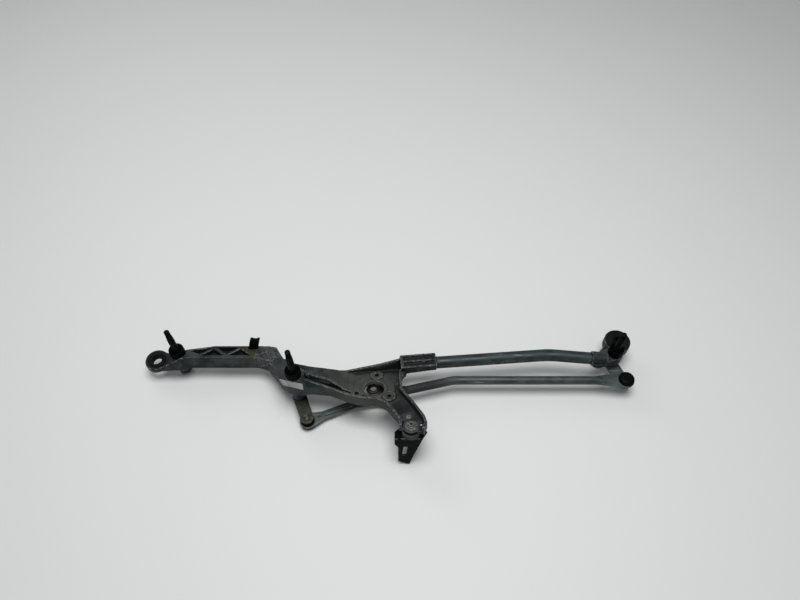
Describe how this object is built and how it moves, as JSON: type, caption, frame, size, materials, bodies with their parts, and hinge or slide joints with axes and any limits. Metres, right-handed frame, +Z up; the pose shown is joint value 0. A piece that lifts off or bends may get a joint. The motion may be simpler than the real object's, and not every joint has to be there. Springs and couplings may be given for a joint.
{
  "type": "windshield wiper linkage",
  "caption": "Wiper linkage frame: trussed cast arm, motor deck, bent tube, upright spindles with cranks, and link rods joined by ball sockets.",
  "frame": {"origin": "middle of the box in X and Y, on the floor the linkage lies on", "axes": "+X along the linkage toward the right eye, +Y away from the foot bracket, +Z up along the spindles"},
  "size_m": [0.7544, 0.204, 0.1508],
  "materials": {
    "cast_aluminium": "rough cast, dull and grimy",
    "dark_tube_steel": "dark blue-grey paint, worn",
    "blue_grey_link_steel": "dark blue-grey coating, satin",
    "yellowed_zinc_steel": "yellowed zinc plating, stained",
    "zinc_steel": "zinc plated, dull",
    "spring_steel": "dark oiled spring steel",
    "black_spindle_steel": "black coating, satin",
    "bush_bronze": "plain sintered bronze",
    "grommet_rubber": "black rubber, dusty",
    "cap_rubber": "black rubber, satin",
    "socket_plastic": "black nylon, satin",
    "black_painted_steel": "black paint, satin"
  },
  "bodies": {
    "frame": {"main_casting": "cast_aluminium", "right_housing": "cast_aluminium", "frame_tube": "dark_tube_steel", "right_eye_sleeve": "zinc_steel", "leg_sleeve": "zinc_steel", "leg_bolt": "zinc_steel", "leg_nut": "zinc_steel", "deck_rivet": "zinc_steel", "idler_lower_bush": "bush_bronze", "idler_upper_bush": "bush_bronze", "left_lower_bush": "bush_bronze", "left_upper_bush": "bush_bronze", "right_lower_bush": "bush_bronze", "right_upper_bush": "bush_bronze", "left_eye_grommet": "grommet_rubber", "right_eye_grommet": "grommet_rubber", "leg_bush": "grommet_rubber", "harness_clip": "socket_plastic", "foot_bracket": "black_painted_steel"},
    "idler": {"idler_spindle": "black_spindle_steel", "idler_washer": "zinc_steel", "idler_circlip": "spring_steel", "idler_cap": "cap_rubber"},
    "left_pivot": {"left_spindle": "black_spindle_steel", "left_washer": "zinc_steel", "left_circlip": "spring_steel", "left_cap": "cap_rubber", "left_thrust_washer": "zinc_steel", "left_crank": "yellowed_zinc_steel", "left_ball_stud": "zinc_steel"},
    "right_pivot": {"right_spindle": "black_spindle_steel", "right_washer": "zinc_steel", "right_circlip": "spring_steel", "right_cap": "cap_rubber", "right_thrust_washer": "zinc_steel", "right_crank": "blue_grey_link_steel", "right_ball_stud": "zinc_steel"},
    "short_link": {"short_link": "blue_grey_link_steel", "short_link_outer_socket": "socket_plastic", "short_link_inner_socket": "socket_plastic"},
    "long_link": {"long_link": "blue_grey_link_steel", "long_link_outer_socket": "socket_plastic", "long_link_inner_socket": "socket_plastic"},
    "motor_crank": {"motor_crank": "yellowed_zinc_steel", "motor_ball_stud": "zinc_steel"}
  },
  "joints": [
    {"name": "idler_spin", "type": "hinge", "parent": "frame", "child": "idler", "pos_m": [-0.32393, 0.05731, 0.03], "axis": [0, 0, 1], "continuous": true},
    {"name": "left_pivot_turn", "type": "hinge", "parent": "frame", "child": "left_pivot", "pos_m": [-0.13542, -0.00169, 0.05], "axis": [0, 0, 1], "range_deg": [-60, 30]},
    {"name": "right_pivot_turn", "type": "hinge", "parent": "frame", "child": "right_pivot", "pos_m": [0.34608, 0.05581, 0.04], "axis": [0, 0, 1], "range_deg": [-60, 30]},
    {"name": "short_link_swivel", "type": "hinge", "parent": "left_pivot", "child": "short_link", "pos_m": [-0.12044, -0.03878, 0.0105], "axis": [0, 0, 1], "range_deg": [-30, 60]},
    {"name": "long_link_swivel", "type": "hinge", "parent": "right_pivot", "child": "long_link", "pos_m": [0.36106, 0.01872, 0.0315], "axis": [0, 0, 1], "range_deg": [-30, 60]},
    {"name": "motor_crank_swivel", "type": "hinge", "parent": "short_link", "child": "motor_crank", "pos_m": [0.00658, -0.00319, 0.0105], "axis": [0, 0, 1], "range_deg": [-20, 60]}
  ],
  "couplings": [
    {"joint": "right_pivot_turn", "follows": "left_pivot_turn", "ratio": 1},
    {"joint": "short_link_swivel", "follows": "left_pivot_turn", "ratio": -1},
    {"joint": "long_link_swivel", "follows": "left_pivot_turn", "ratio": -1}
  ]
}
